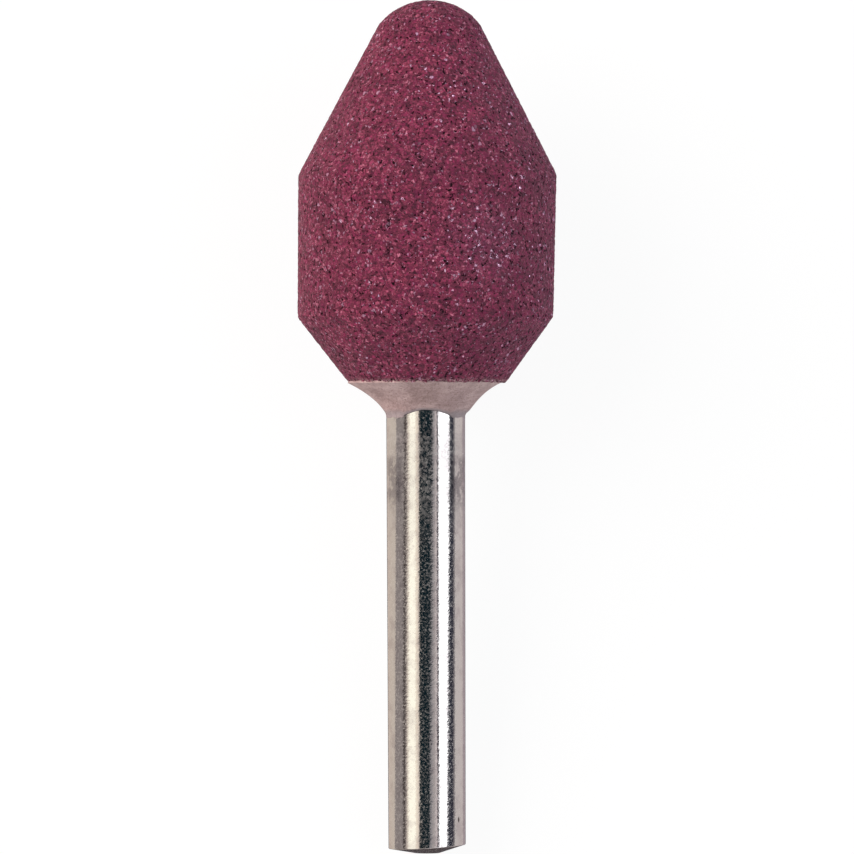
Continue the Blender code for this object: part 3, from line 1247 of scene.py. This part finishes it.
@dataclass(frozen=True)
class Panel:
    """A panel beside the point's axis, that shows only in what shines."""

    name: str
    start: Edge
    end: Edge
    colour: Colour
    distance: float = 0.5
    low: float = -0.8  # along the axis, from the back face
    high: float = 0.8
    turn_low: float = -0.066  # the part of the axis where the edges turn
    turn_high: float = -0.001

    def build(self) -> bpy.types.Object:
        """Makes the panel, a strip whose edges turn between its two middle heights.

        Returns:
            The panel.
        """
        rows = ((self.low, 0.0), (self.turn_low, 0.0), (self.turn_high, 1.0), (self.high, 1.0))
        bpy.ops.object.select_all(action="DESELECT")
        bpy.ops.mesh.primitive_grid_add(x_subdivisions=1, y_subdivisions=len(rows) - 1, size=2)
        panel = bpy.context.object
        panel.name = self.name
        for vertex in panel.data.vertices:
            height, share = rows[round((vertex.co.y + 1) / 2 * (len(rows) - 1))]
            angle = (self.start if vertex.co.x < 0 else self.end).at(share)
            vertex.co = Vector((math.sin(angle) * self.distance, -math.cos(angle) * self.distance, height))
        panel.data.transform(LIE.matrix())
        material = bpy.data.materials.new(self.name)
        material.use_nodes = True
        wiring = Wiring(material.node_tree)
        material.node_tree.nodes.clear()
        shine = wiring.node("ShaderNodeEmission", {"Color": self.colour, "Strength": 1.0})
        wiring.node("ShaderNodeOutputMaterial", {0: shine.outputs[0]})
        material.cycles.emission_sampling = "NONE"
        panel.data.materials.append(material)
        panel.visible_camera = False
        panel.visible_diffuse = False
        panel.visible_transmission = False
        panel.visible_shadow = False
        return panel


@dataclass
class Studio:
    """The floor, the lamps, the panels that the steel mirrors, and the camera."""

    camera_distance: float = 0.540
    view_height: float = 0.0664
    sensor: float = 36.0
    aim: float = -0.00353  # along the axis from the back face
    aim_side: float = 0.00010
    roll: float = math.radians(-0.19)
    ambient: float = 0.44
    shadow_share: float = 0.08
    floor_size: float = 8.0
    floor_grey: float = 0.97
    near: float = 0.12  # the distance of the panels beside and behind the point

    def fronts(self) -> list[Panel]:
        """The panels in front, from left to right. Each ends where the next starts.

        Returns:
            The panels.
        """
        rows = [
            ("left_grey_panel", Edge(-125, -125), (0.395, 0.365, 0.375)),
            ("left_dark_panel", Edge(-77.6, -66), (0.09, 0.075, 0.075)),
            ("warm_start_panel", Edge(-69.2, -58), (0.40, 0.36, 0.36)),
            ("warm_rise_panel", Edge(-63.8, -53.6), (1.16, 1.08, 0.96)),
            ("warm_panel", Edge(-58.5, -47.9), (1.84, 1.86, 1.68)),
            ("warm_fall_panel", Edge(-33.9, -29.3), (1.42, 1.32, 1.16)),
            ("warm_end_panel", Edge(-27.0, -23.6), (1.15, 1.06, 0.99)),
            ("front_black_panel", Edge(-22.8, -19.8), (0.006, 0.022, 0.033)),
            ("front_grey_panel", Edge(7.7, 22.0), (0.43, 0.43, 0.48)),
            ("front_mid_panel", Edge(15.2, 25.2), (0.61, 0.58, 0.61)),
            ("front_pale_panel", Edge(24.7, 28.6), (0.98, 0.91, 0.96)),
            ("front_dim_panel", Edge(30.7, 32), (0.08, 0.07, 0.10)),
            ("cool_panel", Edge(36.9, 36.9), (2.50, 2.64, 2.84)),
            ("right_dark_panel", Edge(61.9, 74.4), (0.045, 0.050, 0.080)),
            ("right_edge_panel", Edge(85.8, 89.6), (0.35, 0.33, 0.37)),
        ]
        ends = [start for _, start, _ in rows[1:]] + [Edge(92.4, 95.6)]
        return [Panel(name, start, end, colour) for (name, start, colour), end in zip(rows, ends)]

    def panels(self) -> list[Panel]:
        """All panels round the axis: those in front, those beside and behind, and the card for the end.

        Returns:
            The panels.
        """
        left = (0.91, 0.84, 0.77)
        left_seam = Edge(-143, -143)
        right_seam = Edge(135, 135)
        return [
            *self.fronts(),
            Panel("left_side_panel", left_seam, Edge(-112.4, -94.6), left, self.near, turn_low=-0.044),
            Panel("left_rear_panel", Edge(-180, -180), left_seam, left, self.near),
            Panel("right_side_panel", Edge(94, 96), right_seam, (0.88, 0.84, 0.87), self.near),
            Panel("right_rear_panel", right_seam, Edge(180, 180), (0.58, 0.53, 0.60), self.near),
            Panel("end_card", Edge(160, 160), Edge(200, 200), (0.11, 0.10, 0.11), 0.10, -0.130, -0.040),
        ]

    def lamps(self) -> list[Lamp]:
        """The lamps, from left to right.

        Returns:
            The lamps.
        """
        return [
            Lamp("warm_softbox", Light.WARM, -50, 0.20, 3.3),
            Lamp("cool_softbox", Light.COOL, 46, 0.0, 0.96),
        ]

    def floor(self) -> None:
        """A pale floor that looks white from above and keeps a soft shadow."""
        bpy.ops.object.select_all(action="DESELECT")
        bpy.ops.mesh.primitive_plane_add(size=self.floor_size)
        floor = bpy.context.object
        floor.name = "floor"
        material = bpy.data.materials.new("pale_floor")
        material.use_nodes = True
        wiring = Wiring(material.node_tree)
        material.node_tree.nodes.clear()
        path = wiring.node("ShaderNodeLightPath")
        matt = wiring.node("ShaderNodeBsdfDiffuse", {"Color": (self.floor_grey,) * 3})
        white = wiring.node("ShaderNodeEmission", {"Color": (1, 1, 1), "Strength": 1.0})
        seen = wiring.times(path.outputs["Is Camera Ray"], 1 - self.shadow_share)
        through = wiring.plus(path.outputs["Is Glossy Ray"], path.outputs["Is Transmission Ray"])
        share = wiring.number("MINIMUM", wiring.plus(seen, through), 1.0)
        mixed = wiring.node("ShaderNodeMixShader", {0: share, 1: matt.outputs[0], 2: white.outputs[0]})
        wiring.node("ShaderNodeOutputMaterial", {0: mixed.outputs[0]})
        material.cycles.emission_sampling = "NONE"
        floor.data.materials.append(material)
        floor.visible_glossy = False

    def world(self) -> None:
        """A white surround for the camera and for what shines, and an even fill for what is matt."""
        world = bpy.data.worlds.new("surround")
        world.use_nodes = True
        bpy.context.scene.world = world
        wiring = Wiring(world.node_tree)
        world.node_tree.nodes.clear()
        path = wiring.node("ShaderNodeLightPath")
        shown = wiring.plus(path.outputs["Is Camera Ray"], path.outputs["Is Glossy Ray"])
        shown = wiring.number("MINIMUM", wiring.plus(shown, path.outputs["Is Transmission Ray"]), 1.0)
        strength = wiring.span(shown, 0.0, 1.0, self.ambient, 1.0)
        back = wiring.node("ShaderNodeBackground", {"Color": (1, 1, 1), "Strength": strength})
        wiring.node("ShaderNodeOutputWorld", {0: back.outputs[0]})

    def camera(self) -> None:
        """Looks at the point from straight above its axis, with the nose up."""
        data = bpy.data.cameras.new("camera")
        data.sensor_width = self.sensor
        data.lens = self.sensor * self.camera_distance / self.view_height
        data.clip_start = 0.01
        data.clip_end = 20.0
        camera = bpy.data.objects.new("camera", data)
        bpy.context.scene.collection.objects.link(camera)
        outwards = LIE.front()
        across = LIE.nose().cross(outwards)
        turn = Matrix((across, LIE.nose(), outwards)).transposed() @ Matrix.Rotation(self.roll, 3, "Z")
        target = LIE.matrix() @ Vector((self.aim_side, 0, self.aim))
        camera.matrix_world = Matrix.Translation(target + outwards * self.camera_distance) @ turn.to_4x4()
        bpy.context.scene.camera = camera

    def build(self) -> None:
        """Makes the whole studio."""
        self.floor()
        self.world()
        for fitting in (*self.panels(), *self.lamps()):
            fitting.build()
        self.camera()


def set_view() -> None:
    """Shows colours as they are written."""
    bpy.context.scene.view_settings.view_transform = "Standard"


def main() -> None:
    """Builds the pieces and the studio."""
    logging.basicConfig(level=logging.INFO, format="%(message)s")
    for assembly in (SteelShank(), CementSeat(), AbrasiveHead()):
        piece = assembly.build()
        log.info("%s: %d faces", piece.name, len(piece.data.polygons))
    Studio().build()
    set_view()


if __name__ == "__main__":
    main()
